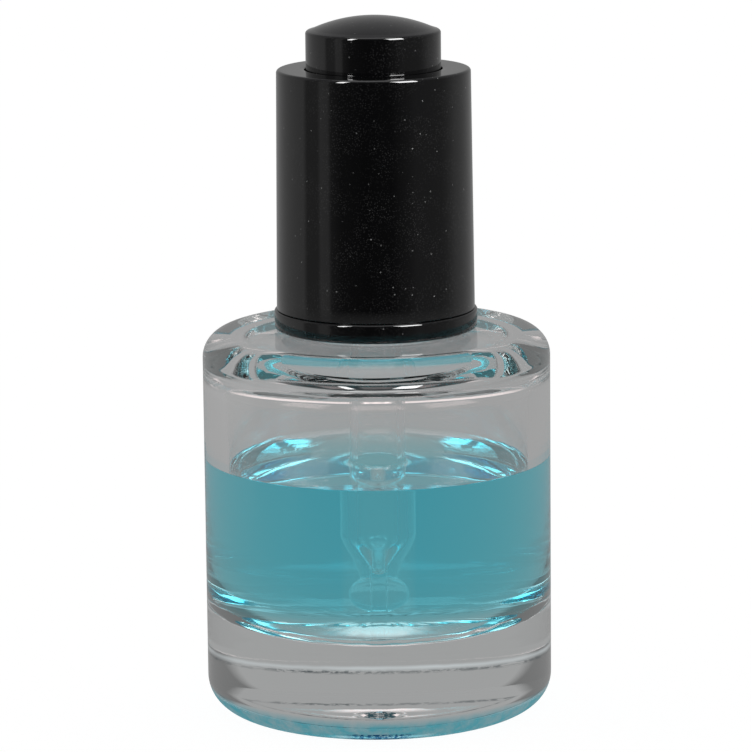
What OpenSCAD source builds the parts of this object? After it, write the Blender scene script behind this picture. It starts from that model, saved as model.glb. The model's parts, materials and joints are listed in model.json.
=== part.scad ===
// Push-button dropper bottle: heavy-base glass cylinder, glass pipette,
// rubber teat and a threaded cap with a sprung button.
// Millimetres, +Z up, origin at the centre of the base on the table.

/* [Bottle] */
// Outer diameter of the glass body
body_d = 42; // [40:0.5:46]
// Height from the table to the flat shoulder
shoulder_z = 46.5; // [45:0.5:60]
// Thickness of the side wall
wall = 2.8; // [2:0.1:4]
// Height of the inner floor above the table, the heavy base
floor_z = 10.9; // [6:0.1:14]
// Rounding where the side meets the base
heel_r = 4; // [1:0.1:4]
// Rounding where the side meets the shoulder
shoulder_r = 3.2; // [1:0.1:4]
// Rounding of the inner corner above the floor
inner_heel_r = 6; // [2:0.1:8]
// Height of the liquid above the table
liquid_z = 30.3; // [24:0.1:36]

/* [Neck] */
// Height of the neck finish above the shoulder
neck_h = 13.7; // [13:0.1:15]
// Diameter of the neck between the threads
neck_root_d = 17.6; // [17:0.1:17.8]
// Diameter over the crest of the bottle's thread
thread_d = 19.6; // [19:0.1:19.6]
// Bore of the neck
neck_bore_d = 10.8; // [10.4:0.1:11]
// Rise of the thread in one turn
lead = 3.175; // [3:0.025:3.4]

/* [Cap] */
// Diameter of the ring at the foot of the cap
ring_d = 24.5; // [24.4:0.1:27]
// Height of the ring at the foot of the cap
ring_h = 2.3; // [1.5:0.1:3]
// Diameter of the sleeve where it meets the ring
sleeve_low_d = 23.9; // [23.8:0.1:26]
// Diameter of the sleeve at its top
sleeve_top_d = 23.3; // [23.2:0.1:26]
// Height of the sleeve's top above the shoulder
sleeve_top_h = 31.6; // [31:0.1:33]
// Rounding of the sleeve's top edge
sleeve_edge_r = 0.4; // [0.2:0.1:0.8]
// Diameter of the push button
button_d = 16.2; // [15.6:0.1:16.4]
// Height of the button's side above the sleeve
button_h = 4.6; // [4.4:0.1:6]
// Height of the button's domed top
button_dome_h = 1.7; // [0.5:0.1:2.5]
// Travel of the button
press = 4; // [3:0.1:4]

/* [Dropper] */
// Outer diameter of the glass pipette
pipette_d = 6.7; // [6.6:0.1:6.8]
// Bore of the glass pipette
pipette_bore_d = 4.9; // [4:0.1:5.5]
// Diameter of the rounded tip
tip_d = 5.4; // [5:0.1:6]
// Diameter of the narrow neck above the tip
tip_neck_d = 3.4; // [3.2:0.1:4.4]
// Bore through the tip
tip_bore_d = 1.4; // [1:0.1:1.8]
// Gap between the tip and the inner floor
tip_gap = 1.7; // [0.4:0.1:4]
// Outer diameter of the rubber teat
teat_d = 10; // [9:0.1:10]
// Wall of the rubber teat
teat_wall = 0.9; // [0.7:0.1:1]

/* [Hidden] */

// fits
skim = 0.02;          // gap between pieces that rest on each other
run = 0.06;           // radial gap of a running fit
overlap = 0.2;        // depth that joined solids share

// heights of the bottle
neck_top = shoulder_z + neck_h;
cavity_r = body_d / 2 - wall;
roof_z = shoulder_z - 2.9;         // underside of the shoulder at the neck
roof_drop = 0.6;                   // how much lower it is at the wall
roof_r = 3.3;                      // inner rounding under the shoulder
bore_r = neck_bore_d / 2;
push_up = 0.3;                     // hollow under the base
push_up_r = body_d / 2 - 6.5;

// bottle thread: centre line from low to high
turns = 1.5;
thread_high = neck_top - 2.2;
thread_low = thread_high - turns * lead;
thread_fade = 30;                  // degrees over which an end runs out
thread_step = 6;                   // degrees between thread sections

// parts stacked on the neck
plug_flange = 0.6;
washer_z = neck_top + plug_flange + skim;
washer_t = 0.8;
teat_z = washer_z + washer_t + skim;
teat_flange_t = 1.5;
teat_flange_r = 7.6;
deck_z = teat_z + teat_flange_t + skim;   // underside of the closure's deck
deck_t = 1.6;
sleeve_z = shoulder_z + 0.3 + ring_h;
sleeve_top = shoulder_z + sleeve_top_h;
sleeve_roof_t = 1.1;
sleeve_wall = 0.8;

// closure
crest_r = neck_root_d / 2 + 0.25;
valley_r = thread_d / 2 + 0.3;
closure_r = sleeve_top_d / 2 - sleeve_wall - run;
female_turns = 1.25;
draw_up = 0.12;                    // share of half the lead taken up when tight

// button
button_r = button_d / 2;
guide_r = button_r + run;
guide_low = sleeve_top - 5;
stop_r = button_r + 0.7;
stop_t = 1.2;
stop_top = guide_low - skim;
tower_r = stop_r + 0.12;           // inside of the wall that carries the guide
collar_top = stop_top - stop_t - press - 0.7;   // just clear of the pressed button
button_rim_z = sleeve_top + button_h;
button_top = button_rim_z + button_dome_h;
teat_top = sleeve_top + 0.4;

// pipette
tip_z = floor_z + tip_gap;
ball_x = 0.4;                      // offset of the tip's rounding
ball_r = tip_d / 2 - ball_x;
ball_z = tip_z + ball_r;
pipette_r = pipette_d / 2;
pipette_top = teat_z + 6.5;

$fn = 96;

// A quarter round for a profile, from angle a to angle b about (x, z).
function arc(x, z, r, a, b, n = 8) =
    [for (i = [0:n]) let (t = a + (b - a) * i / n)
        [x + r * cos(t), z + r * sin(t)]];

// Share of full thread depth at angle t of a thread of total angle.
function run_out(t, total) =
    max(0.04, min(1, t / thread_fade, (total - t) / thread_fade));

// One section of a thread: foot on foot_r, crest on crest_at.
function section(t, z, foot_r, crest_at, foot_w, crest_w) = [
    [foot_r * cos(t), foot_r * sin(t), z - foot_w],
    [crest_at * cos(t), crest_at * sin(t), z - crest_w],
    [crest_at * cos(t), crest_at * sin(t), z + crest_w],
    [foot_r * cos(t), foot_r * sin(t), z + foot_w]];

// A thread bead that climbs from low_z through the given turns.
module thread_bead(low_z, turn_count, foot_r, tip_at, foot_w, crest_w) {
    total = turn_count * 360;
    count = round(total / thread_step);
    inward = tip_at < foot_r;
    points = [for (i = [0:count])
        let (t = total * i / count, share = run_out(t, total))
        for (p = section(t, low_z + lead * t / 360, foot_r,
                         foot_r + (tip_at - foot_r) * share,
                         foot_w, foot_w + (crest_w - foot_w) * share))
            p];
    sides = [for (i = [0:count - 1]) for (k = [0:3])
        let (a = 4 * i + k, b = 4 * i + (k + 1) % 4)
        for (f = [[a, b, a + 4], [b, b + 4, a + 4]]) f];
    ends = [[0, 2, 1], [0, 3, 2],
            [4 * count, 4 * count + 1, 4 * count + 2],
            [4 * count, 4 * count + 2, 4 * count + 3]];
    faces = concat(sides, ends);
    polyhedron(points, inward
        ? [for (f = faces) [f[0], f[2], f[1]]]
        : faces, convexity = 6);
}

// Heavy-base jar of clear glass with a threaded neck.
module glass_bottle() {
    color([0.80, 0.84, 0.84, 0.35]) {
        rotate_extrude() polygon(concat(
            [for (i = [0:8]) let (r = push_up_r * i / 8)
                [r, push_up * (1 - pow(i / 8, 2))]],
            arc(body_d / 2 - heel_r, heel_r, heel_r, -90, 0, 12),
            arc(body_d / 2 - shoulder_r, shoulder_z - shoulder_r,
                shoulder_r, 0, 90, 10),
            [[neck_root_d / 2 + 0.8, shoulder_z],
             [neck_root_d / 2, shoulder_z + 0.8]],
            arc(neck_root_d / 2 - 0.8, neck_top - 0.8, 0.8, 0, 90, 4),
            [[bore_r + 0.4, neck_top], [bore_r, neck_top - 0.4]],
            arc(bore_r + 2.5, roof_z + 2.5, 2.5, 180, 270, 6),
            arc(cavity_r - roof_r, roof_z - roof_drop - roof_r,
                roof_r, 86, 0),
            arc(cavity_r - inner_heel_r, floor_z + inner_heel_r,
                inner_heel_r, 0, -90, 12),
            [[0, floor_z]]));
        thread_bead(thread_low, turns, neck_root_d / 2 - overlap,
                    thread_d / 2, 1.1, 0.5);
    }
}

// Coloured liquid that fills the lower part of the jar. The shaft left
// free for the pipette lets the dropper be lifted out.
module liquid() {
    r = cavity_r - skim;
    low = floor_z + skim;
    color([0.12, 0.52, 0.58, 0.8])
        rotate_extrude() polygon(concat(
            [[0, low]],
            arc(r - inner_heel_r, low + inner_heel_r, inner_heel_r, -90, 0, 12),
            [[r, liquid_z], [pipette_r + 0.1, liquid_z],
             [pipette_r + 0.1, tip_z - 0.2], [0, tip_z - 0.2]]));
}

// Soft plug in the neck that wipes the pipette.
module wiper_plug() {
    lip_r = pipette_r + run;
    plug_r = bore_r + 0.04;
    color([0.92, 0.93, 0.92, 0.8])
        rotate_extrude() polygon([
            [plug_r, neck_top - 0.5], [plug_r, neck_top - 6.5],
            [plug_r - 0.5, neck_top - 7.5], [lip_r, neck_top - 7.5],
            [lip_r, neck_top - 6.9], [lip_r + 0.8, neck_top - 6.3],
            [bore_r - 0.9, neck_top - 5], [bore_r - 0.9, neck_top - 0.6],
            [bore_r - 0.4, neck_top + plug_flange],
            [7.4, neck_top + plug_flange], [7.6, neck_top + 0.3],
            [7.6, neck_top + skim], [bore_r + 0.5, neck_top + skim]]);
}

// Flat washer between the plug's flange and the teat.
module sealing_washer() {
    color([0.90, 0.90, 0.88])
        rotate_extrude() polygon([
            [pipette_r + 0.3, washer_z], [8.2, washer_z],
            [8.4, washer_z + 0.2], [8.4, washer_z + washer_t - 0.2],
            [8.2, washer_z + washer_t], [pipette_r + 0.3, washer_z + washer_t]]);
}

// Glass tube drawn down to a narrow neck and a rounded tip.
module pipette() {
    bore = pipette_bore_d / 2;
    tip_bore = tip_bore_d / 2;
    neck = tip_neck_d / 2;
    color([0.82, 0.87, 0.88, 0.35])
        rotate_extrude() polygon(concat(
            [[tip_bore + 0.15, tip_z]],
            arc(ball_x, ball_z, ball_r, -64, acos((neck - ball_x) / ball_r), 10),
            [[neck, ball_z + 2.3], [neck + 0.1, ball_z + 2.9],
             [pipette_r - 1.05, ball_z + 4.4], [pipette_r - 0.3, ball_z + 6.0],
             [pipette_r, ball_z + 7],
             [pipette_r, pipette_top - 0.4], [pipette_r - 0.3, pipette_top],
             [bore + 0.2, pipette_top], [bore, pipette_top - 0.3],
             [bore, ball_z + 6.9], [bore - 0.2, ball_z + 6.2],
             [bore - 0.8, ball_z + 5.2], [tip_bore + 0.1, ball_z + 3.4],
             [tip_bore, ball_z + 2.9],
             [tip_bore, tip_z + 0.2]]));
}

// Rubber teat: flange, collar that grips the pipette, and a thin dome.
module rubber_teat() {
    out = teat_d / 2;
    inner = out - teat_wall;
    grip = pipette_r + skim;
    color([0.10, 0.10, 0.11])
        rotate_extrude() polygon(concat(
            [[grip, teat_z], [teat_flange_r, teat_z],
             [teat_flange_r, teat_z + teat_flange_t],
             [out, teat_z + teat_flange_t]],
            arc(out - 2.2, teat_top - 2.2, 2.2, 0, 90),
            [[0, teat_top], [0, teat_top - teat_wall]],
            arc(inner - 1.6, teat_top - teat_wall - 1.6, 1.6, 90, 0),
            [[inner, teat_z + 7.4], [grip, teat_z + 6.6]]));
}

// Closure with the inner thread, the deck that clamps the teat and the
// tower in which the button's stop flange travels.
module threaded_closure() {
    low = shoulder_z + 0.6;
    deck_top = deck_z + deck_t;
    color([0.16, 0.16, 0.17]) {
        rotate_extrude() polygon([
            [valley_r + 0.5, low], [closure_r, low],
            [closure_r, deck_top - 0.4], [closure_r - 0.4, deck_top],
            [tower_r + 0.9, deck_top], [tower_r + 0.9, guide_low - skim],
            [tower_r, guide_low - skim], [tower_r, deck_top],
            [teat_d / 2 + 0.9, deck_top],
            [teat_d / 2 + 0.9, collar_top],
            [teat_d / 2 + 0.15, collar_top],
            [teat_d / 2 + 0.15, deck_z], [8.6, deck_z],
            [valley_r, deck_z - 1.2], [valley_r, low + 0.5]]);
        thread_bead(thread_low - lead / 2 * (1 - draw_up), female_turns,
                    valley_r + overlap, crest_r, 1.0, 0.4);
    }
}

// Glossy ring at the foot of the cap, clipped round the closure.
module base_ring() {
    low = shoulder_z + 0.3;
    out = ring_d / 2;
    color([0.03, 0.03, 0.035])
        rotate_extrude() polygon(concat(
            [[closure_r + skim, low]],
            arc(out - 0.35, low + 0.35, 0.35, -90, 0, 4),
            arc(out - 0.3, sleeve_z - 0.3, 0.3, 0, 90, 4),
            [[closure_r + skim, sleeve_z]]));
}

// Outer sleeve with a flat roof and a round hole for the button.
module cap_sleeve() {
    low = sleeve_z + skim;
    low_r = sleeve_low_d / 2;
    top_r = sleeve_top_d / 2;
    inner_r = closure_r + skim;
    hole_r = guide_r + 0.12;
    color([0.03, 0.03, 0.035])
        rotate_extrude() polygon(concat(
            [[inner_r, low], [low_r, low]],
            arc(top_r - sleeve_edge_r, sleeve_top - sleeve_edge_r,
                sleeve_edge_r, 0, 90, 6),
            [[hole_r, sleeve_top], [hole_r, sleeve_top - sleeve_roof_t],
             [inner_r - 0.6, sleeve_top - sleeve_roof_t],
             [inner_r, sleeve_top - sleeve_roof_t - 0.6]]));
}

// Ring under the sleeve's roof, in which the button slides.
module button_guide() {
    roof = sleeve_top - sleeve_roof_t - skim;
    color([0.05, 0.05, 0.055])
        rotate_extrude() polygon([
            [guide_r, guide_low + 0.2], [guide_r + 0.2, guide_low],
            [closure_r - 0.8, guide_low], [closure_r - 0.8, roof],
            [guide_r + 0.2, roof], [guide_r, roof - 0.2]]);
}

// Hollow button with a domed top, a stop flange and a post on the teat.
module push_button() {
    rim = 0.4;
    dome_base = button_rim_z;
    skirt = 1.1;
    post = 3.2;
    post_low = teat_top + skim;
    reach = 2 * atan(button_dome_h / (button_r - rim));
    dome_r = (button_r - rim) / sin(reach);
    color([0.04, 0.04, 0.045])
        rotate_extrude() polygon(concat(
            [[button_r - skirt, stop_top - stop_t], [stop_r, stop_top - stop_t],
             [stop_r, stop_top], [button_r, stop_top]],
            arc(button_r - rim, dome_base - rim * cos(reach), rim, 0, 90 - reach, 6),
            arc(0, button_top - dome_r, dome_r, 90 - reach, 90, 12),
            [[0, post_low], [post, post_low],
             [post, dome_base - 1.6], [button_r - skirt - 0.6, dome_base - 1.6],
             [button_r - skirt, dome_base - 2.2]]));
}

glass_bottle();
liquid();
wiper_plug();
sealing_washer();
pipette();
rubber_teat();
threaded_closure();
base_ring();
cap_sleeve();
button_guide();
push_button();
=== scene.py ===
"""Looks of a push-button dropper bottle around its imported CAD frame.

Every visible piece is built here as its own closed mesh: a profile of
(radius, height) points in millimetres, revolved round the bottle's axis.
"""

import json
import math

import bpy
from mathutils import Matrix, Vector, noise

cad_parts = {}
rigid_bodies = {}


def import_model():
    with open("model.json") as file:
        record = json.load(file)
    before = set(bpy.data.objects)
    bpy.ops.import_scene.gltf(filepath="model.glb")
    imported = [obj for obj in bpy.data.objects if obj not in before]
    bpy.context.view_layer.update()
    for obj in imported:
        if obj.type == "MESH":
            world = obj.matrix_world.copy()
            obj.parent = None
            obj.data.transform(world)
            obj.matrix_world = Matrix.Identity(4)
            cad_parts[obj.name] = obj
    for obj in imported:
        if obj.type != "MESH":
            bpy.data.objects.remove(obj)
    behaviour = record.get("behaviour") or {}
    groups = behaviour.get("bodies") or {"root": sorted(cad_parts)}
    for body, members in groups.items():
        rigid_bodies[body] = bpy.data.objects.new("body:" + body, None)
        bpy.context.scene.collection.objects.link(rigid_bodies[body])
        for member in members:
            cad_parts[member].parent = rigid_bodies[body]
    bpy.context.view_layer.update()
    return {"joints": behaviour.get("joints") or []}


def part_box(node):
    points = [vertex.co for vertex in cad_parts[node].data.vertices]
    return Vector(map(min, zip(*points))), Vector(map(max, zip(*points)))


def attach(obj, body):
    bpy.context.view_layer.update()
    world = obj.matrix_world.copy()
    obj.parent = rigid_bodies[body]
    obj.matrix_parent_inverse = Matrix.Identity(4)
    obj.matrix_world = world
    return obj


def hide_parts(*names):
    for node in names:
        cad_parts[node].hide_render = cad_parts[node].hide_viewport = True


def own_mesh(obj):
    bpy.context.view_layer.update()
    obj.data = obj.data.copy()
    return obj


MM = 0.001
TURN = 2 * math.pi
WHITE = (1, 1, 1, 1)

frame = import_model()


def top_of(node):
    """Height of the top of a CAD node, in millimetres."""
    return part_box(node)[1].z / MM


def low_of(node):
    """Height of the foot of a CAD node, in millimetres."""
    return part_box(node)[0].z / MM


def radius_of(node):
    """Outer radius of a CAD node, in millimetres."""
    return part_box(node)[1].x / MM


def travel_of(name):
    """Travel of a sliding joint, in millimetres."""
    joint = next(j for j in frame["joints"] if j["name"] == name)
    return joint["range_m"][1] / MM


GAP = 0.02  # between pieces of one body that touch

# sizes and places read from the frame, in millimetres
BODY_R = radius_of("glass_bottle")
NECK_TOP = top_of("glass_bottle")
CAVITY_R = radius_of("liquid") + GAP
FLOOR_Z = low_of("liquid") - GAP
LIQUID_Z = top_of("liquid")
TIP_Z = low_of("pipette")
PIPETTE_TOP = top_of("pipette")
PIPETTE_R = radius_of("pipette")
RING_LOW = low_of("base_ring")
RING_TOP = top_of("base_ring")
RING_R = radius_of("base_ring")
SLEEVE_LOW = low_of("cap_sleeve")
SLEEVE_TOP = top_of("cap_sleeve")
SLEEVE_R = radius_of("cap_sleeve")
GUIDE_LOW = low_of("button_guide")
GUIDE_TOP = top_of("button_guide")
GUIDE_R = radius_of("button_guide")
BUTTON_LOW = low_of("push_button")
BUTTON_TOP = top_of("push_button")
CLOSURE_LOW = low_of("threaded_closure")
CLOSURE_TOP = top_of("threaded_closure")
CLOSURE_R = radius_of("threaded_closure")
TEAT_LOW = low_of("rubber_teat")
TEAT_TOP = top_of("rubber_teat")
WASHER_LOW = low_of("sealing_washer")
WASHER_TOP = top_of("sealing_washer")
PRESS = travel_of("button_press")

# shapes that several pieces share, in millimetres
RING_GAP = 0.3  # from the bottle's shoulder up to the cap's ring
SHOULDER_Z = RING_LOW - RING_GAP
HEEL = 4.0  # outer rounding of the base
INNER_HEEL = 6.0  # rounding of the cavity's floor
MENISCUS = 0.4  # rise of the liquid at the glass
LEAD = 3.175  # rise of the thread in one turn
THREAD_TURNS = 1.5
THREAD_LOW = NECK_TOP - 2.2 - THREAD_TURNS * LEAD
THREAD_FADE = 0.52  # radians over which a thread grows from nothing
TEAT_FLANGE = 1.5  # thickness of the teat's flange

GLASS_IOR = 1.5
LIQUID_IOR = 1.345

# kinds of face, which lathe() stores and the clear materials read
GLASS_FACE, WET_FACE, ROOF_FACE = 0, 1, 2  # of the bottle
SIDE_FACE, TOP_FACE, TUBE_FACE = 0, 1, 2  # of the liquid
OUTER_FACE, DRY_BORE, WET_BORE = 0, 1, 2  # of the pipette


# ---------------------------------------------------------------- geometry


def arc(r, z, radius, start, end, count):
    """Points of a round corner about (r, z), from start to end degrees."""
    points = []
    for i in range(count + 1):
        t = math.radians(start + (end - start) * i / count)
        points.append((r + radius * math.cos(t), z + radius * math.sin(t)))
    return points


def line(a, b, step):
    """Points between a and b without the ends, no further apart than step."""
    length = math.hypot(b[0] - a[0], b[1] - a[1])
    count = max(1, math.ceil(length / step))
    return [
        (a[0] + (b[0] - a[0]) * i / count, a[1] + (b[1] - a[1]) * i / count)
        for i in range(1, count)
    ]


def rounded(points, rounds):
    """An open profile whose corners are cut at a quarter, again and again."""
    for _ in range(rounds):
        cut = [points[0]]
        for a, b in zip(points, points[1:]):
            cut.append((0.75 * a[0] + 0.25 * b[0], 0.75 * a[1] + 0.25 * b[1]))
            cut.append((0.25 * a[0] + 0.75 * b[0], 0.25 * a[1] + 0.75 * b[1]))
        points = cut + [points[-1]]
    return points


def lathe_points(profile, segments, shift):
    """The points of a revolved profile, and the rings that they form."""
    verts, rings = [], []
    for r, z in profile:
        on_axis = r < 1e-6
        ring = []
        for k in range(1 if on_axis else segments):
            a = TURN * k / segments
            r2, z2 = shift(a, r, z) if shift and not on_axis else (r, z)
            ring.append(len(verts))
            verts.append((r2 * math.cos(a) * MM, r2 * math.sin(a) * MM, z2 * MM))
        rings.append(ring)
    return verts, rings


def band_faces(lower, upper):
    """Faces between two neighbouring rings, one of which may be a pole."""
    count = max(len(lower), len(upper))
    faces = []
    for k in range(count):
        n = (k + 1) % count
        if len(lower) == 1:
            faces.append((lower[0], upper[n], upper[k]))
        elif len(upper) == 1:
            faces.append((lower[k], lower[n], upper[0]))
        else:
            faces.append((lower[k], lower[n], upper[n], upper[k]))
    return faces


def lathe(name, profile, segments=192, shift=None, kind_at=None, sharp=40):
    """A closed solid of revolution.

    profile is a closed loop of (r, z) with the solid on its left; points
    with r = 0 become poles. shift(angle, r, z) moves a point to a new
    (r, z), and kind_at(r, z) gives the kind of a face by its middle on the
    profile. Edges steeper than sharp degrees are shaded sharp.
    """
    verts, rings = lathe_points(profile, segments, shift)
    faces, kinds = [], []
    for i, lower in enumerate(rings):
        n = (i + 1) % len(rings)
        upper = rings[n]
        if len(lower) == 1 and len(upper) == 1:
            continue
        band = band_faces(lower, upper)
        faces += band
        if kind_at:
            (r1, z1), (r2, z2) = profile[i], profile[n]
            kinds += [float(kind_at((r1 + r2) / 2, (z1 + z2) / 2))] * len(band)
    mesh = bpy.data.meshes.new(name)
    mesh.from_pydata(verts, [], faces)
    mesh.polygons.foreach_set("use_smooth", [True] * len(faces))
    mesh.set_sharp_from_angle(angle=math.radians(sharp))
    obj = bpy.data.objects.new(name, mesh)
    bpy.context.scene.collection.objects.link(obj)
    if kind_at:
        layer = mesh.attributes.new("kind", "FLOAT", "FACE")
        layer.data.foreach_set("value", kinds)
    mesh.update()
    return obj


def place(obj, body, node, material):
    """Gives a piece its material in a slot and its body, and hides its CAD node."""
    obj.data.materials.append(material)
    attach(obj, body)
    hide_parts(node)


def thread_height(angle, z, low, turns, foot, crest):
    """How far a thread stands out at an angle and height, from 0 to 1.

    foot and crest are half the thread's width at its foot and at its crest.
    """
    best = 0.0
    for k in range(math.ceil(turns) + 1):
        t = angle + TURN * k
        if t > turns * TURN:
            continue
        fade = min(1.0, t / THREAD_FADE, (turns * TURN - t) / THREAD_FADE)
        off = abs(z - low - LEAD * t / TURN)
        flank = (foot - off) / (foot - crest)
        share = max(0.0, min(1.0, flank)) * max(0.0, fade)
        best = max(best, share * share * (3 - 2 * share))
    return best


# --------------------------------------------------------------- materials


class Nodes:
    """Short spellings for building the node tree of a material or world."""

    def __init__(self, owner, output="OutputMaterial"):
        self.owner = owner
        owner.use_nodes = True
        self.tree = owner.node_tree
        self.tree.nodes.clear()
        self.out = self.add(output)

    def add(self, kind, **values):
        """A node; a name after an underscore is a property, others are inputs."""
        node = self.tree.nodes.new("ShaderNode" + kind)
        for key, value in values.items():
            if key.startswith("_"):
                setattr(node, key[1:], value)
            else:
                self.put(node, key.replace("_", " "), value)
        return node

    def put(self, node, key, value):
        """Sets or links one input, by name or by number."""
        socket = node.inputs[key]
        if isinstance(value, bpy.types.NodeSocket):
            self.tree.links.new(value, socket)
        else:
            socket.default_value = value

    def math(self, operation, a, b=0.0, c=0.0):
        """A Math node's output."""
        node = self.add("Math", _operation=operation)
        for i, value in enumerate((a, b, c)):
            self.put(node, i, value)
        return node.outputs[0]

    def times(self, first, *others):
        """The product of all the values."""
        for value in others:
            first = self.math("MULTIPLY", first, value)
        return first

    def vector(self, operation, a, b=None, output="Vector"):
        """A Vector Math node's output."""
        node = self.add("VectorMath", _operation=operation)
        self.put(node, 0, a)
        if b:
            self.put(node, 1, b)
        return node.outputs[output]

    def alike(self, a, b):
        """Absolute dot product of two directions."""
        return self.math("ABSOLUTE", self.vector("DOT_PRODUCT", a, b, "Value"))

    def axes(self, vector):
        """The three parts of a vector."""
        return self.add("SeparateXYZ", Vector=vector).outputs[:3]

    def mix(self, factor, a, b):
        """A mix of two shaders."""
        node = self.add("MixShader")
        for i, value in enumerate((factor, a, b)):
            self.put(node, i, value)
        return node.outputs[0]

    def blend(self, factor, a, b):
        """A mix of two colours."""
        node = self.add("Mix", _data_type="RGBA")
        for i, value in ((0, factor), (6, a), (7, b)):
            self.put(node, i, value)
        return node.outputs[2]

    def ramp(self, factor, stops):
        """A ramp of greys through (position, grey) stops."""
        node = self.add("ValToRGB")
        marks = node.color_ramp.elements
        while len(marks) < len(stops):
            marks.new(0.5)
        for mark, (at, grey) in zip(marks, stops):
            mark.position = at
            mark.color = (grey, grey, grey, 1)
        self.put(node, 0, factor)
        return node.outputs[0]

    def is_kind(self, kind):
        """1 on faces of one kind, 0 on the others."""
        stored = self.add("Attribute", _attribute_name="kind").outputs["Fac"]
        return self.math("COMPARE", stored, float(kind), 0.4)

    def position(self):
        """Place of the shaded point in the row frame at this pose."""
        return self.add("NewGeometry").outputs["Position"]

    def local(self):
        """Place of the shaded point on the piece itself."""
        return self.add("TexCoord").outputs["Object"]

    def noise(self, scale, detail, rough=0.5):
        """Noise on the piece, of about 1 / scale millimetres."""
        node = self.add("TexNoise", Scale=scale / MM, Detail=detail, Roughness=rough)
        self.put(node, "Vector", self.local())
        return node.outputs[0]

    def specks(self, scale):
        """Distance from the middle of cells of about 1 / scale millimetres."""
        node = self.add("TexVoronoi", Scale=scale / MM, Vector=self.local())
        return node.outputs["Distance"]

    def bump(self, height, depth):
        """A bump from a height of 0 to 1, with its depth in millimetres."""
        node = self.add("Bump", Height=height, Strength=1.0, Distance=depth * MM)
        return node.outputs[0]

    def clear(self, tint=WHITE):
        """A surface that light passes straight through."""
        return self.add("BsdfTransparent", Color=tint).outputs[0]

    def glow(self, colour, strength):
        """A surface that shines by itself."""
        return self.add("Emission", Color=colour, Strength=strength).outputs[0]

    def lets_lamps_through(self, surface, tint):
        """The surface, but clear to rays that look for lamps."""
        shadow = self.add("LightPath").outputs["Is Shadow Ray"]
        return self.mix(shadow, surface, self.clear((*tint, 1)))

    def done(self, surface, volume=None):
        """Links the output and gives the finished material or world."""
        self.put(self.out, "Surface", surface)
        if volume:
            self.put(self.out, "Volume", volume)
        return self.owner


def new_material(name):
    """The empty node tree of a new material."""
    return Nodes(bpy.data.materials.new(name))


def painted_heel_light(n, height, outside, head_on):
    """Painted light on the heel from outside: teal light from the liquid and dark specks,
    painted into the glass's colour.
    """
    # painted light: a teal band low on the heel, standing for light that came through the
    # liquid
    share = n.add(
        "MapRange", Value=height, From_Min=2.3 * MM, From_Max=3.4 * MM, To_Min=1.0, To_Max=0.0
    )
    blotch = n.ramp(n.noise(0.5, 4.0, 0.7), [(0.0, 0.2), (0.45, 0.75), (0.6, 1.0)])
    share = n.times(share.outputs[0], outside, blotch)
    teal = n.blend(share, WHITE, (0.22, 0.80, 0.95, 1))
    # dark specks at the foot, where it faces the eye
    grains = n.ramp(n.noise(2.5, 5.0, 0.75), [(0.0, 0.0), (0.44, 0.0), (0.52, 1.0)])
    ahead = n.ramp(head_on, [(0.0, 0.0), (0.975, 0.0), (0.99, 1.0)])
    foot = n.math("LESS_THAN", height, 1.3 * MM)
    return n.blend(n.times(grains, ahead, foot, outside), teal, (0.02, 0.16, 0.35, 1))


def heel_inside_painted_light(n, height, from_above, head_on):
    """The heel from inside: clear, with a glowing painted highlight line, painted shade towards
    the sides and dark specks under the line.
    """
    share = n.math("MULTIPLY", height, 1 / (HEEL * MM))
    # painted highlight: a glowing line across the heel, seen from above
    highlight_line_at = n.ramp(share, [(0.0, 0.0), (0.50, 0.0), (0.62, 1.0), (0.70, 0.0)])
    uneven = n.ramp(n.noise(0.12, 3.0), [(0.3, 0.2), (0.6, 1.0)])
    painted_highlight = n.times(highlight_line_at, uneven, from_above, 0.8)
    under = n.ramp(share, [(0.0, 0.0), (0.42, 0.0), (0.50, 1.0), (0.58, 0.0)])
    grains = n.ramp(n.noise(3.5, 5.0, 0.75), [(0.0, 0.0), (0.44, 0.0), (0.54, 1.0)])
    patch = n.ramp(n.noise(0.09, 2.0), [(0.0, 0.0), (0.42, 0.0), (0.50, 1.0)])
    # painted shade: darker towards the heel's sides, where it turns away from the eye
    corner = n.ramp(head_on, [(0.0, 0.35), (0.79, 0.45), (0.83, 1.0)])
    shade = n.blend(n.times(under, grains, patch), corner, (0.12, 0.16, 0.18, 1))
    return n.mix(painted_highlight, n.clear(shade), n.glow((0.9, 0.97, 1, 1), 0.75))


def mark_look(n):
    """The mould's mark from inside: dark grit."""
    grit = n.ramp(n.noise(1.8, 5.0, 0.75), [(0.0, 0.0), (0.44, 0.0), (0.52, 1.0)])
    return n.clear(n.blend(grit, WHITE, (0.05, 0.16, 0.20, 1)))


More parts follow.
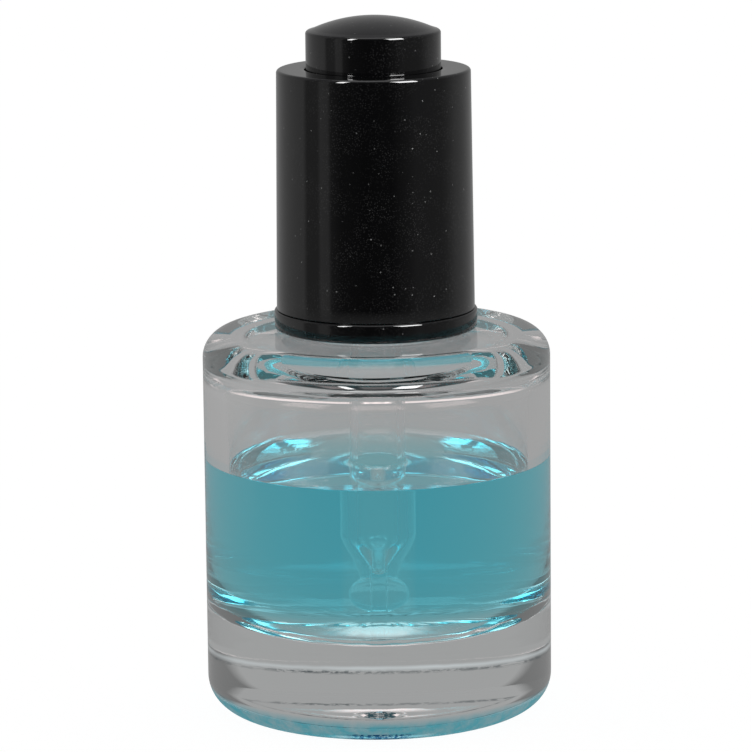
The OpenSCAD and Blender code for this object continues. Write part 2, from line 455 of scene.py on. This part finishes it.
def clear_glass():
    """Bottle glass, with a trace of absorption and slow mould waves.

    Wet faces are clear, because the liquid's own face bends the light there.
    Roof faces are clear to rays that graze them. From outside the heel has
    painted light, teal light from the liquid and dark specks in the glass's
    colour; from inside it has a glowing painted highlight line and painted
    shade towards the sides, and the mould's mark has dark grit.
    """
    heel_top, heel_in, mark_r, grazing = 2.9 * MM, (BODY_R - HEEL) * MM, 1.3 * MM, 0.65
    n = new_material("clear_glass")
    geometry = n.add("NewGeometry")
    to_eye = geometry.outputs["Incoming"]
    inside = geometry.outputs["Backfacing"]
    outside = n.math("SUBTRACT", 1.0, inside)
    x, y, height = n.axes(n.local())
    eye_x, eye_y, eye_z = n.axes(to_eye)
    spoke = n.add("CombineXYZ", X=x, Y=y).outputs[0]
    level_ray = n.add("CombineXYZ", X=eye_x, Y=eye_y).outputs[0]
    radius = n.vector("LENGTH", spoke, output="Value")
    head_on = n.alike(n.vector("NORMALIZE", spoke), n.vector("NORMALIZE", level_ray))

    # painted light: the heel's teal band and dark specks go into the glass's colour
    tint = painted_heel_light(n, height, outside, head_on)
    waves = n.bump(n.noise(0.25, 2.0), 0.012)
    face = n.add("BsdfGlass", Color=tint, Roughness=0.0, IOR=GLASS_IOR, Normal=waves)
    slant = n.alike(to_eye, geometry.outputs["True Normal"])
    grazed = n.math("LESS_THAN", slant, grazing)
    roof = n.times(n.is_kind(ROOF_FACE), grazed)
    wet = n.is_kind(WET_FACE)
    surface = n.mix(n.math("MAXIMUM", wet, roof), face.outputs[0], n.clear())

    low = n.times(n.math("LESS_THAN", height, heel_top), inside)
    from_above = n.math("GREATER_THAN", eye_z, 0.0)
    at_heel = n.times(low, n.math("GREATER_THAN", radius, heel_in))
    # painted highlight and painted shade on the heel from inside
    surface = n.mix(at_heel, surface, heel_inside_painted_light(n, height, from_above, head_on))
    at_mark = n.times(low, n.math("LESS_THAN", radius, mark_r))
    surface = n.mix(at_mark, surface, mark_look(n))

    volume = n.add("VolumeAbsorption", Color=(0.86, 0.90, 0.90, 1), Density=12.0)
    surface = n.lets_lamps_through(surface, (0.93, 0.94, 0.94))
    return n.done(surface, volume.outputs[0])


def teal_liquid():
    """Teal liquid, which tints light by the way it travels.

    Its sides bend the light as between glass and liquid, its top as between
    air and liquid. Faces at the pipette are clear: the tube bends the light.
    """
    teal, density = (0.0, 0.885, 0.985, 1), 54.0
    n = new_material("liquid_look")
    side_ior = LIQUID_IOR / GLASS_IOR
    ior = n.math("MULTIPLY_ADD", n.is_kind(TOP_FACE), LIQUID_IOR - side_ior, side_ior)
    face = n.add("BsdfGlass", Color=(0.98, 1, 1, 1), Roughness=0.0, IOR=ior)
    surface = n.mix(n.is_kind(TUBE_FACE), face.outputs[0], n.clear())
    volume = n.add("VolumeAbsorption", Color=teal, Density=density)
    return n.done(n.lets_lamps_through(surface, (0.4, 0.85, 0.9)), volume.outputs[0])


def pipette_glass():
    """Tube glass, whose index changes where liquid touches it; there it has a painted glowing
    edge.

    Outer faces touch the liquid while they are below its level, also when
    the pipette has been lifted.
    """
    n = new_material("pipette_glass")
    level = n.axes(n.position())[2]
    below = n.math("LESS_THAN", level, LIQUID_Z * MM)
    bathed = n.times(below, n.is_kind(OUTER_FACE))
    bathed = n.math("MAXIMUM", bathed, n.is_kind(WET_BORE))
    wet_ior = GLASS_IOR / LIQUID_IOR
    ior = n.math("MULTIPLY_ADD", bathed, wet_ior - GLASS_IOR, GLASS_IOR)
    waves = n.bump(n.noise(0.6, 2.0), 0.004)
    face = n.add("BsdfGlass", Roughness=0.0, IOR=ior, Normal=waves)
    # painted glow: a faint teal light edge, from an emission, where the tube stands in liquid
    facing = n.add("LayerWeight", Blend=0.5).outputs["Facing"]
    edge = n.times(n.math("POWER", facing, 4.0), bathed, 0.8)
    surface = n.mix(edge, face.outputs[0], n.glow((0.32, 0.62, 0.66, 1), 0.8))
    return n.done(n.lets_lamps_through(surface, (0.93, 0.95, 0.95)))


def gloss_black():
    """Moulded black plastic: near mirror, fine orange peel, smears and dust."""
    black, dust_grey = (0.0006, 0.0006, 0.0007, 1), (0.16, 0.16, 0.16, 1)
    n = new_material("gloss_black")
    peel, grain = n.noise(0.35, 2.0), n.noise(9.0, 2.0)
    normal = n.bump(n.math("MULTIPLY_ADD", grain, 0.05, peel), 0.010)
    grains = n.ramp(n.specks(1.1), [(0.0, 1.0), (0.07, 0.7), (0.13, 0.0)])
    chance = n.ramp(n.noise(0.5, 5.0, 0.8), [(0.0, 0.0), (0.50, 0.0), (0.60, 1.0)])
    powder = n.ramp(n.specks(4.5), [(0.0, 1.0), (0.18, 0.6), (0.4, 0.0)])
    settled = n.ramp(n.noise(0.25, 4.0, 0.6), [(0.0, 0.0), (0.40, 0.1), (0.60, 1.0)])
    film = n.times(powder, settled, 0.075)
    dust = n.math("MAXIMUM", n.times(grains, chance, 0.8), film)
    rough = n.math("MULTIPLY_ADD", n.noise(0.12, 4.0, 0.6), 0.05, 0.005)
    rough = n.math("MULTIPLY_ADD", dust, 0.35, rough)
    colour = n.blend(dust, black, dust_grey)
    face = n.add("BsdfPrincipled", Base_Color=colour, Roughness=rough, IOR=1.5, Normal=normal)
    return n.done(face.outputs[0])


def moulded(name, colour, rough, grain_mm, depth, see_through=0.0):
    """Plain moulded plastic, foam or rubber with a fine grain."""
    n = new_material(name)
    grain = n.noise(1 / grain_mm, 4.0, 0.6)
    dark = tuple(0.86 * c for c in colour)
    shade = n.blend(n.noise(0.15, 3.0), (*dark, 1), (*colour, 1))
    spread = n.math("MULTIPLY_ADD", grain, 0.12, rough - 0.06)
    normal = n.bump(grain, depth)
    face = n.add("BsdfPrincipled", Base_Color=shade, Roughness=spread, IOR=1.48, Normal=normal)
    if see_through:
        n.put(face, "Subsurface Weight", see_through)
        n.put(face, "Subsurface Radius", (0.6, 0.6, 0.6))
        n.put(face, "Subsurface Scale", 1.5 * MM)
    return n.done(face.outputs[0])


# ------------------------------------------------------------------ bottle


def wall_wave(angle, z):
    """Slow unevenness of the moulded inside, in millimetres."""
    around = 2.2  # larger for more waves round the bottle
    x, y = math.cos(angle) * around, math.sin(angle) * around
    near_floor = math.exp(-max(0.0, z - FLOOR_Z) / 5.0)
    slow = noise.noise(Vector((x, y, z * 0.10)))
    quick = noise.noise(Vector((x * 4, y * 4, z * 0.9 + 7)))
    return 0.05 * slow + 0.06 * near_floor * quick


def inner_shift(a, r, z):
    """Moves a point of the cavity outwards by the moulding's unevenness."""
    wave = wall_wave(a, z) * min(1.0, r / 6.0)
    off_r, off_z = r - (CAVITY_R - INNER_HEEL), z - (FLOOR_Z + INNER_HEEL)
    if off_z > 0:
        return r + wave, z
    if off_r < 0:
        return r, z - wave
    reach = math.hypot(off_r, off_z)
    return r + wave * off_r / reach, z + wave * off_z / reach


def base_profile():
    """Underside of the bottle: mould mark, raised middle and heel."""
    foot_r, push_up, steps = BODY_R - 6.5, 0.3, 24
    mark = [(0, 0.72), (0.3, 0.66), (0.55, 0.5), (0.9, 0.52), (1.3, 0.42)]
    bowl = [
        (foot_r * i / steps, push_up * (1 - (i / steps) ** 2)) for i in range(3, steps + 1)
    ]
    return mark + bowl + arc(BODY_R - HEEL, HEEL, HEEL, -90, 0, 36)


def build_bottle():
    """The jar with its recessed base, threaded neck and inner cavity."""
    brow, root, lip, bore_edge, throat = 3.2, 0.8, 0.8, 0.4, 2.5
    neck_r, bore_r, thread_depth = 8.8, 5.4, 1.0
    roof_r, roof_z, roof_drop, clear_roof = 3.3, SHOULDER_Z - 2.9, 0.6, 9.0
    wet_top = LIQUID_Z + MENISCUS

    profile = base_profile()
    side = arc(BODY_R - brow, SHOULDER_Z - brow, brow, 0, 90, 28)
    profile += line(profile[-1], side[0], 2.0) + side
    neck_foot = arc(neck_r + root, SHOULDER_Z + root, root, 270, 180, 8)
    profile += line(profile[-1], neck_foot[0], 2.0) + neck_foot
    neck_lip = arc(neck_r - lip, NECK_TOP - lip, lip, 0, 90, 8)
    profile += line(profile[-1], neck_lip[0], 0.16) + neck_lip
    profile += arc(bore_r + bore_edge, NECK_TOP - bore_edge, bore_edge, 90, 180, 5)
    profile += arc(bore_r + throat, roof_z + throat, throat, 180, 270, 14)
    roof_mid = roof_z - roof_drop - roof_r
    inner_roof = arc(CAVITY_R - roof_r, roof_mid, roof_r, 86, 0, 20)
    profile += line(profile[-1], inner_roof[0], 1.5) + inner_roof
    profile += line(profile[-1], (CAVITY_R, wet_top), 0.8) + [(CAVITY_R, wet_top)]
    corner = arc(CAVITY_R - INNER_HEEL, FLOOR_Z + INNER_HEEL, INNER_HEEL, 0, -90, 28)
    profile += line(profile[-1], corner[0], 0.5) + corner
    profile += line(profile[-1], (0, FLOOR_Z), 0.8) + [(0, FLOOR_Z)]

    def shift(a, r, z):
        if abs(r - neck_r) < 1e-6 and SHOULDER_Z + 1 < z < NECK_TOP - 0.6:
            height = thread_height(a, z, THREAD_LOW, THREAD_TURNS, foot=1.1, crest=0.5)
            return r + thread_depth * height, z
        if r < CAVITY_R + 0.01 and FLOOR_Z - 0.01 < z < roof_z + 0.01:
            return inner_shift(a, r, z)
        return r, z

    def kind_at(r, z):
        if roof_z - roof_drop - 0.1 < z < roof_z + 0.01 and r > clear_roof:
            return ROOF_FACE if r < CAVITY_R - roof_r + 0.05 else GLASS_FACE
        wet = r < CAVITY_R + 0.01 and FLOOR_Z - 0.01 <= z < wet_top
        return WET_FACE if wet else GLASS_FACE

    obj = lathe("bottle_glass", profile, 192, shift, kind_at)
    place(obj, "bottle", "glass_bottle", clear_glass())


def build_liquid(look):
    """Teal liquid with a raised edge at the glass and at the pipette."""
    r_out, r_in = CAVITY_R - GAP, PIPETTE_R + GAP
    low, wet_top = FLOOR_Z + GAP, LIQUID_Z + MENISCUS
    wall_reach, tube_reach, tube_rise = 0.8, 0.7, 0.35
    shaft_foot = TIP_Z - 0.2
    corner = arc(r_out - INNER_HEEL, low + INNER_HEEL, INNER_HEEL, -90, 0, 28)
    profile = [(0, low)] + line((0, low), corner[0], 0.8) + corner
    profile += line(profile[-1], (r_out, wet_top), 0.5) + [(r_out, wet_top)]
    steps = [0.03, 0.07, 0.12, 0.2, 0.3, 0.45, 0.65, 0.9, 1.3, 1.8, 2.5, 3.5, 5.0, 7.0]
    radii = [r_out - s for s in steps] + [r_in + s for s in reversed(steps[:12])]
    for r in radii:
        rise = MENISCUS * math.exp(-(r_out - r) / wall_reach)
        rise += tube_rise * math.exp(-(r - r_in) / tube_reach)
        profile.append((r, LIQUID_Z + rise))
    profile += [(r_in, LIQUID_Z + tube_rise)]
    profile += line(profile[-1], (r_in, shaft_foot), 1.0)
    profile += [(r_in, shaft_foot), (0, shaft_foot)]

    def shift(a, r, z):
        outside_shaft = r > r_in + 0.01 and z < LIQUID_Z
        if outside_shaft or z < shaft_foot - 0.05 or r > r_out - 0.01:
            return inner_shift(a, r, z)
        return r + wall_wave(a, z) * math.exp(-(r_out - r)), z

    def kind_at(r, z):
        if r <= r_in + 0.001 and z > low + 0.01:
            return TUBE_FACE
        return TOP_FACE if r < r_out - 0.001 and z > LIQUID_Z - 0.01 else SIDE_FACE

    obj = lathe("teal_liquid", profile, 192, shift, kind_at)
    place(obj, "bottle", "liquid", look)


# ----------------------------------------------------------------- dropper


def build_pipette(liquid_look):
    """Glass tube with a drawn neck and a rounded, bored tip."""
    bore, tip_bore, tip_edge, neck, rim_r, mouth = 2.45, 0.7, 0.35, 1.7, 0.35, 0.25
    ball_x, ball_r = 0.4, 2.3
    ball_z = TIP_Z + ball_r
    column_top = ball_z + 3.1
    neck_angle = math.degrees(math.acos((neck - ball_x) / ball_r))
    profile = arc(tip_bore + tip_edge, TIP_Z + tip_edge, tip_edge, 200, 270, 5)
    profile += arc(ball_x + 0.5, ball_z, ball_r, -90, -78, 2)[1:]
    profile += arc(ball_x, ball_z, ball_r, -72, neck_angle, 24)
    outer = [(neck, ball_z + ball_r), (neck + 0.12, ball_z + 2.8)]
    outer += [(PIPETTE_R - 1.15, ball_z + 4.2), (PIPETTE_R - 0.3, ball_z + 6.1)]
    outer += [(PIPETTE_R, ball_z + 7.2)]
    profile += rounded(outer, 3)
    rim = arc(PIPETTE_R - rim_r, PIPETTE_TOP - rim_r, rim_r, 0, 90, 5)
    profile += line(profile[-1], rim[0], 1.0) + rim
    profile += arc(bore + mouth, PIPETTE_TOP - mouth, mouth, 90, 180, 4)
    inner = [(bore, ball_z + 7.0), (bore - 0.15, ball_z + 6.3)]
    inner += [(bore - 0.8, ball_z + 5.2), (bore - 1.45, ball_z + 4.0)]
    inner += [(tip_bore + 0.06, ball_z + 3.2), (tip_bore, ball_z + 2.8)]
    inner = rounded(inner, 3)
    profile += line(profile[-1], inner[0], 1.0) + inner
    profile += line(profile[-1], (tip_bore, TIP_Z + tip_edge), 0.5)

    def kind_at(r, z):
        if z > PIPETTE_TOP - 0.3:
            return OUTER_FACE
        if z > inner[0][1]:
            return DRY_BORE if r < bore + 0.01 else OUTER_FACE
        if z < inner[-1][1]:
            return WET_BORE if r < tip_bore + 0.01 else OUTER_FACE
        bore_here = min(inner, key=lambda point: abs(point[1] - z))[0]
        if r > bore_here + 0.3:
            return OUTER_FACE
        return DRY_BORE if z > column_top else WET_BORE

    obj = lathe("pipette_tube", profile, 128, None, kind_at)
    place(obj, "stem", "pipette", pipette_glass())
    wall = [(tip_bore, TIP_Z + tip_edge)]
    wall += [(r, z) for r, z in reversed(inner) if z < column_top]
    build_column(wall, liquid_look)


def build_column(wall, look):
    """Liquid drawn up in the pipette's tip, with a hollow top.

    wall is the bore's profile, from the tip up to the liquid's level.
    """
    gap, hollow, steps = 0.015, 0.55, 10
    foot_r, foot_z = wall[0]
    profile = [(0, foot_z), (foot_r - gap, foot_z)]
    for r, z in wall[1:]:
        profile += line(profile[-1], (r - gap, z), 0.5) + [(r - gap, z)]
    rim_r, rim_z = profile[-1]
    profile += [
        (rim_r * k / steps, rim_z - hollow * (1 - (k / steps) ** 2))
        for k in range(steps - 1, -1, -1)
    ]

    def kind_at(r, z):
        top = r < rim_r * 0.97 and z > rim_z - hollow - 0.01
        return TOP_FACE if top else TUBE_FACE

    obj = lathe("liquid_in_tip", profile, 96, None, kind_at)
    place(obj, "stem", "pipette", look)


def build_teat(look):
    """Rubber teat: a flange on the stem and a dome under the button."""
    grip, flange, soft = PIPETTE_R + GAP, 7.6, 0.2
    flange_top = TEAT_LOW + TEAT_FLANGE
    profile = [(grip, TEAT_LOW + 0.1), (grip + 0.1, TEAT_LOW)]
    profile += arc(flange - soft, TEAT_LOW + soft, soft, -90, 0, 4)
    profile += arc(flange - soft, flange_top - soft, soft, 0, 90, 4)
    profile += [(grip, flange_top)]
    obj = lathe("teat_flange", profile, 96)
    place(obj, "stem", "rubber_teat", look)

    out, wall, crown, crown_in = 5.0, 0.9, 2.2, 1.6
    inner = out - wall
    profile = [(grip, flange_top), (out, flange_top)]
    dome = arc(out - crown, TEAT_TOP - crown, crown, 0, 90, 12)
    profile += line(profile[-1], dome[0], 1.0) + dome
    profile += [(0, TEAT_TOP), (0, TEAT_TOP - wall)]
    profile += arc(inner - crown_in, TEAT_TOP - wall - crown_in, crown_in, 90, 0, 8)
    profile += line(profile[-1], (inner, TEAT_LOW + 7.4), 1.0)
    profile += [(inner, TEAT_LOW + 7.4), (grip, TEAT_LOW + 6.6)]
    obj = lathe("teat_dome", profile, 96)
    place(obj, "stem", "rubber_teat", look)
    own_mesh(obj)


def build_washer():
    """Foam washer between the plug and the teat."""
    r_in, r_out, soft = PIPETTE_R + 0.3, 8.4, 0.2
    profile = arc(r_in + soft, WASHER_LOW + soft, soft, 180, 270, 4)
    profile += line(profile[-1], (r_out - soft, WASHER_LOW), 1.0)
    profile += arc(r_out - soft, WASHER_LOW + soft, soft, -90, 0, 4)
    profile += arc(r_out - soft, WASHER_TOP - soft, soft, 0, 90, 4)
    profile += line(profile[-1], (r_in + soft, WASHER_TOP), 1.0)
    profile += arc(r_in + soft, WASHER_TOP - soft, soft, 90, 180, 4)
    foam = moulded("washer_foam", (0.80, 0.80, 0.78), 0.75, 0.25, 0.04)
    obj = lathe("foam_washer", profile, 128)
    place(obj, "seal", "sealing_washer", foam)


def build_plug():
    """Soft plug with the lip that wipes the pipette."""
    plug, lip, flange, bore = 5.44, PIPETTE_R + 0.06, 7.6, 4.5
    seat, top = NECK_TOP + GAP, NECK_TOP + 0.6
    foot, lip_top = NECK_TOP - 7.5, NECK_TOP - 6.9
    profile = [(5.9, seat), (flange, seat), (flange, top - 0.15), (flange - 0.15, top)]
    profile += [(5.0, top), (bore + 0.2, NECK_TOP + 0.2), (bore, NECK_TOP - 0.6)]
    profile += [(bore, NECK_TOP - 5), (lip + 0.8, lip_top + 0.6), (lip, lip_top)]
    profile += [(lip, foot + 0.1), (lip + 0.1, foot), (plug - 0.5, foot)]
    profile += [(plug - 0.15, lip_top), (plug, NECK_TOP - 6.5), (plug, NECK_TOP - 0.5)]
    soft_white = moulded("plug_plastic", (0.82, 0.84, 0.83), 0.38, 0.4, 0.006, 0.6)
    obj = lathe("neck_wiper_plug", profile, 128, sharp=35)
    place(obj, "bottle", "wiper_plug", soft_white)


# --------------------------------------------------------------------- cap


def build_ring(look):
    """Glossy ring at the foot of the cap."""
    inner, low_edge, top_edge = CLOSURE_R + GAP, 0.35, 0.3
    profile = [(inner, RING_LOW + 0.15), (inner + 0.15, RING_LOW)]
    profile += arc(RING_R - low_edge, RING_LOW + low_edge, low_edge, -90, 0, 8)
    profile += arc(RING_R - top_edge, RING_TOP - top_edge, top_edge, 0, 90, 8)
    profile += [(inner + 0.1, RING_TOP), (inner, RING_TOP - 0.1)]
    obj = lathe("cap_ring", profile)
    place(obj, "cap", "base_ring", look)


def build_sleeve(look):
    """Glossy tapering sleeve with a flat roof and the button's hole."""
    top_r, edge, foot_edge, hole_edge, fillet = 11.65, 0.4, 0.12, 0.1, 0.6
    inner, hole, roof = CLOSURE_R + GAP, 8.28, SLEEVE_TOP - 1.1
    profile = [(inner, SLEEVE_LOW + 0.1), (inner + 0.1, SLEEVE_LOW)]
    profile += arc(SLEEVE_R - foot_edge, SLEEVE_LOW + foot_edge, foot_edge, -90, 0, 4)
    shoulder = arc(top_r - edge, SLEEVE_TOP - edge, edge, 0, 90, 14)
    profile += line(profile[-1], shoulder[0], 2.0) + shoulder
    profile += line(profile[-1], (hole + hole_edge, SLEEVE_TOP), 0.6)
    profile += arc(hole + hole_edge, SLEEVE_TOP - hole_edge, hole_edge, 90, 180, 4)
    profile += [(hole, roof), (inner - fillet, roof)]
    profile += arc(inner - fillet, roof - fillet, fillet, 90, 0, 5)[1:]
    obj = lathe("cap_outer_sleeve", profile)
    place(obj, "cap", "cap_sleeve", look)


def build_guide(look):
    """Ring under the roof in which the button slides."""
    bore, edge = 8.16, 0.2
    profile = [(bore, GUIDE_LOW + edge), (bore + edge, GUIDE_LOW), (GUIDE_R - edge, GUIDE_LOW)]
    profile += [(GUIDE_R, GUIDE_LOW + edge), (GUIDE_R, GUIDE_TOP - edge)]
    profile += [(GUIDE_R - edge, GUIDE_TOP), (bore + edge, GUIDE_TOP), (bore, GUIDE_TOP - edge)]
    obj = lathe("cap_button_guide", profile, 128, sharp=30)
    place(obj, "cap", "button_guide", look)


def build_button(look):
    """Hollow domed button with a stop flange and an inner post."""
    out, stop, stop_h, wall, post = 8.1, 8.8, 1.2, 1.1, 3.2
    rim_r, rise = 0.4, 1.7
    rim_z = BUTTON_TOP - rise
    flat = out - rim_r
    reach = 2 * math.atan(rise / flat)
    dome_r = flat / math.sin(reach)
    rim_mid = rim_z - rim_r * math.cos(reach)
    slope = 90 - math.degrees(reach)
    stop_top = BUTTON_LOW + stop_h
    profile = [(out - wall, BUTTON_LOW), (stop - 0.1, BUTTON_LOW), (stop, BUTTON_LOW + 0.1)]
    profile += [(stop, stop_top - 0.1), (stop - 0.1, stop_top), (out, stop_top)]
    rim = arc(flat, rim_mid, rim_r, 0, slope, 12)
    profile += line(profile[-1], rim[0], 1.5) + rim
    profile += arc(0, BUTTON_TOP - dome_r, dome_r, slope, 90, 24)[1:]
    post_low = TEAT_TOP + GAP
    profile += [(0, post_low), (post - 0.3, post_low), (post, post_low + 0.3)]
    profile += [(post, rim_z - 1.6), (out - wall - 0.6, rim_z - 1.6)]
    profile += [(out - wall, rim_z - 2.2)]
    obj = lathe("domed_push_button", profile)
    place(obj, "button", "push_button", look)


def build_closure(look):
    """Inner closure: thread, deck, teat collar and the guide's tower."""
    crest, valley, tower, tower_wall, edge = 9.05, 10.1, 8.92, 0.9, 0.1
    collar_in, collar_out, deck_edge = 5.15, 5.9, 0.4
    deck = TEAT_LOW + TEAT_FLANGE + GAP
    deck_top = deck + 1.6
    collar_top = CLOSURE_TOP - 1.2 - PRESS - 0.68
    profile = [(valley + 0.5, CLOSURE_LOW), (CLOSURE_R - edge, CLOSURE_LOW)]
    profile += [(CLOSURE_R, CLOSURE_LOW + edge)]
    profile += line(profile[-1], (CLOSURE_R, deck_top - deck_edge), 3.0)
    profile += arc(CLOSURE_R - deck_edge, deck_top - deck_edge, deck_edge, 0, 90, 4)
    tower_out = tower + tower_wall
    profile += [(tower_out, deck_top), (tower_out, CLOSURE_TOP - edge)]
    profile += [(tower_out - edge, CLOSURE_TOP), (tower + edge, CLOSURE_TOP)]
    profile += [(tower, CLOSURE_TOP - edge), (tower, deck_top)]
    profile += [(collar_out, deck_top), (collar_out, collar_top - edge)]
    profile += [(collar_out - edge, collar_top), (collar_in + edge, collar_top)]
    profile += [(collar_in, collar_top - edge), (collar_in, deck), (8.6, deck)]
    profile += [(valley, deck - 1.2)]
    foot = (valley, CLOSURE_LOW + 0.5)
    profile += line(profile[-1], foot, 0.16) + [foot]
    thread_low = THREAD_LOW - 0.88 * LEAD / 2  # just under the neck's thread

    def shift(a, r, z):
        if abs(r - valley) > 1e-6 or not foot[1] + 0.05 < z < deck - 1.3:
            return r, z
        height = thread_height(a, z, thread_low, turns=1.25, foot=1.0, crest=0.4)
        return r + (crest - valley) * height, z

    obj = lathe("threaded_inner_cap", profile, 160, shift, sharp=30)
    place(obj, "cap", "threaded_closure", look)


# ------------------------------------------------------------ stage, light

# materials that the lamps light; glass gets its light from the world alone
LAMP_LIT = ("gloss_black", "closure_plastic", "teat_rubber")

# brightness round the object, by degrees from the camera's side, right positive
STUDIO = [
    (-180, 0.36), (-145, 0.40), (-126, 0.42), (-112, 0.46), (-92, 0.50), (-86, 0.24),
    (-70, 0.26), (-66, 0.46), (-56, 0.42), (-52, 0.16), (-40, 0.07), (-10, 0.03),
    (20, 0.04), (40, 0.13), (50, 0.19), (84, 0.20), (92, 0.24), (108, 0.36),
    (140, 0.38), (180, 0.36),
]
THROUGH_GLASS = [
    (-180, 0.36), (-145, 0.38), (-112, 0.40), (-90, 0.36), (90, 0.34), (180, 0.36),
]
SOFT_BOXES = [
    (-180, 0.2), (-174, 0.2), (-166, 0), (-78, 0), (-70, 1), (-45, 1), (-38, 0),
    (-24, 0), (-18, 0.7), (18, 0.7), (24, 0), (35, 0), (42, 1), (75, 1), (83, 0),
    (166, 0), (174, 0.2), (180, 0.2),
]


def build_floor():
    """Pale floor; rays that are not the camera's see it near the bottle only."""
    half, drop = 3.0, 0.02 * MM
    mesh = bpy.data.meshes.new("floor")
    corners = [(-half, -half, 0), (half, -half, 0), (half, half, 0), (-half, half, 0)]
    mesh.from_pydata(corners, [], [(0, 1, 2, 3)])
    floor = bpy.data.objects.new("floor", mesh)
    floor.location.z = -drop
    bpy.context.scene.collection.objects.link(floor)
    n = new_material("floor_paper")
    tooth = n.bump(n.noise(1.5, 3.0), 0.02)
    paper = n.add("BsdfDiffuse", Color=(0.10, 0.10, 0.10, 1), Normal=tooth)
    both = n.add("AddShader")
    n.put(both, 0, paper.outputs[0])
    n.put(both, 1, n.glow(WHITE, 0.97))
    away = n.vector("LENGTH", n.position(), output="Value")
    far = n.ramp(away, [(0.0, 0.0), (0.11, 0.0), (0.25, 1.0)])
    others = n.mix(far, n.glow(WHITE, 0.36), n.clear())
    seen = n.add("LightPath").outputs["Is Camera Ray"]
    mesh.materials.append(n.done(n.mix(seen, others, both.outputs[0])))


def build_world():
    """Grey studio whose brightness changes round the object.

    The camera sees it white. Rays that went through glass see a brighter
    front and soft boxes.
    """
    overhead, box_colour = (0.34, 0.34, 0.35, 1), (3.6, 3.0, 2.95, 1)
    world = bpy.data.worlds.new("studio")
    bpy.context.scene.world = world
    n = Nodes(world, "OutputWorld")
    x, y, z = n.axes(n.add("TexCoord").outputs["Generated"])
    azimuth = n.math("ARCTAN2", x, n.math("MULTIPLY", y, -1.0))
    turn = n.math("MULTIPLY_ADD", azimuth, 1 / TURN, 0.5)

    def around(stops):
        return n.ramp(turn, [(angle / 360 + 0.5, grey) for angle, grey in stops])

    high = n.ramp(z, [(0.0, 0.0), (0.35, 0.0), (0.8, 1.0)])
    studio = n.blend(high, around(STUDIO), overhead)
    band = n.ramp(z, [(0.0, 0.0), (0.30, 0.0), (0.36, 1.0), (0.72, 1.0), (0.80, 0.0)])
    boxes = n.times(around(SOFT_BOXES), band)
    refracted = n.blend(boxes, around(THROUGH_GLASS), box_colour)
    path = n.add("LightPath")
    through = n.math("GREATER_THAN", path.outputs["Transmission Depth"], 0.5)
    sky = n.blend(through, studio, refracted)
    sky = n.blend(path.outputs["Is Camera Ray"], sky, WHITE)
    n.done(n.add("Background", Color=sky).outputs[0])


def lamp(name, azimuth, elevation, wide, tall, radiance):
    """A soft lamp that faces the object; angles and sizes in degrees."""
    distance, aim = 0.7, Vector((0, 0, 50 * MM))
    a, e = math.radians(azimuth), math.radians(elevation)
    way = Vector((math.sin(a) * math.cos(e), -math.cos(a) * math.cos(e), math.sin(e)))
    light = bpy.data.lights.new(name, "AREA")
    light.shape = "RECTANGLE"
    light.size = 2 * distance * math.tan(math.radians(wide / 2))
    light.size_y = 2 * distance * math.tan(math.radians(tall / 2))
    light.energy = radiance * math.pi * light.size * light.size_y
    obj = bpy.data.objects.new(name, light)
    obj.location = way * distance + aim
    obj.rotation_mode = "QUATERNION"
    obj.rotation_quaternion = way.to_track_quat("Z", "Y")
    obj.visible_camera = False
    bpy.context.scene.collection.objects.link(obj)
    lit = bpy.data.collections.new(name + "_lit")
    for piece in bpy.context.scene.objects:
        if piece.type == "MESH" and piece.active_material:
            # a second material of one name has a number after a full stop
            if piece.active_material.name.split(".")[0] in LAMP_LIT:
                lit.objects.link(piece)
    obj.light_linking.receiver_collection = lit


def build_lamps():
    """Two tall lamps at the front for the cap's highlights, and a faint top one."""
    lamp("key_right", azimuth=41, elevation=30, wide=25, tall=40, radiance=24)
    lamp("key_left", azimuth=-40, elevation=30, wide=9, tall=40, radiance=24)
    lamp("overhead", azimuth=0, elevation=88, wide=40, tall=40, radiance=1.2)


def build_camera():
    """Long lens from the front, a little above the bottle."""
    distance, elevation, roll = 0.536, 10.98, 0.6
    focus = Vector((0, 0, 42 * MM))
    e = math.radians(elevation)
    back = Vector((0, -math.cos(e), math.sin(e)))
    data = bpy.data.cameras.new("camera")
    data.sensor_width = 36
    data.lens = 212.1
    data.shift_x, data.shift_y = -0.00065, -0.01476
    data.clip_start, data.clip_end = 0.01, 20
    camera = bpy.data.objects.new("camera", data)
    bpy.context.scene.collection.objects.link(camera)
    turn = (-back).to_track_quat("-Z", "Y").to_matrix()
    tilt = Matrix.Rotation(math.radians(-roll), 3, "Z")
    place_at = Matrix.Translation(focus + back * distance)
    camera.matrix_world = place_at @ (turn @ tilt).to_4x4()
    bpy.context.scene.camera = camera


def set_light_paths():
    """Bounces enough for light to cross bottle, liquid and pipette."""
    scene = bpy.context.scene
    scene.view_settings.view_transform = "Standard"
    scene.cycles.max_bounces = 32
    scene.cycles.transmission_bounces = 32
    scene.cycles.transparent_max_bounces = 32
    scene.cycles.glossy_bounces = 16
    scene.cycles.sample_clamp_indirect = 0


black = gloss_black()
closure_plastic = moulded("closure_plastic", (0.03, 0.03, 0.032), 0.45, 0.12, 0.008)
rubber = moulded("teat_rubber", (0.022, 0.022, 0.024), 0.6, 0.08, 0.012)
liquid = teal_liquid()

build_bottle()
build_liquid(liquid)
build_pipette(liquid)
build_ring(black)
build_sleeve(black)
build_guide(closure_plastic)
build_button(black)
build_closure(closure_plastic)
build_teat(rubber)
build_washer()
build_plug()

build_floor()
build_world()
build_lamps()
build_camera()
set_light_paths()
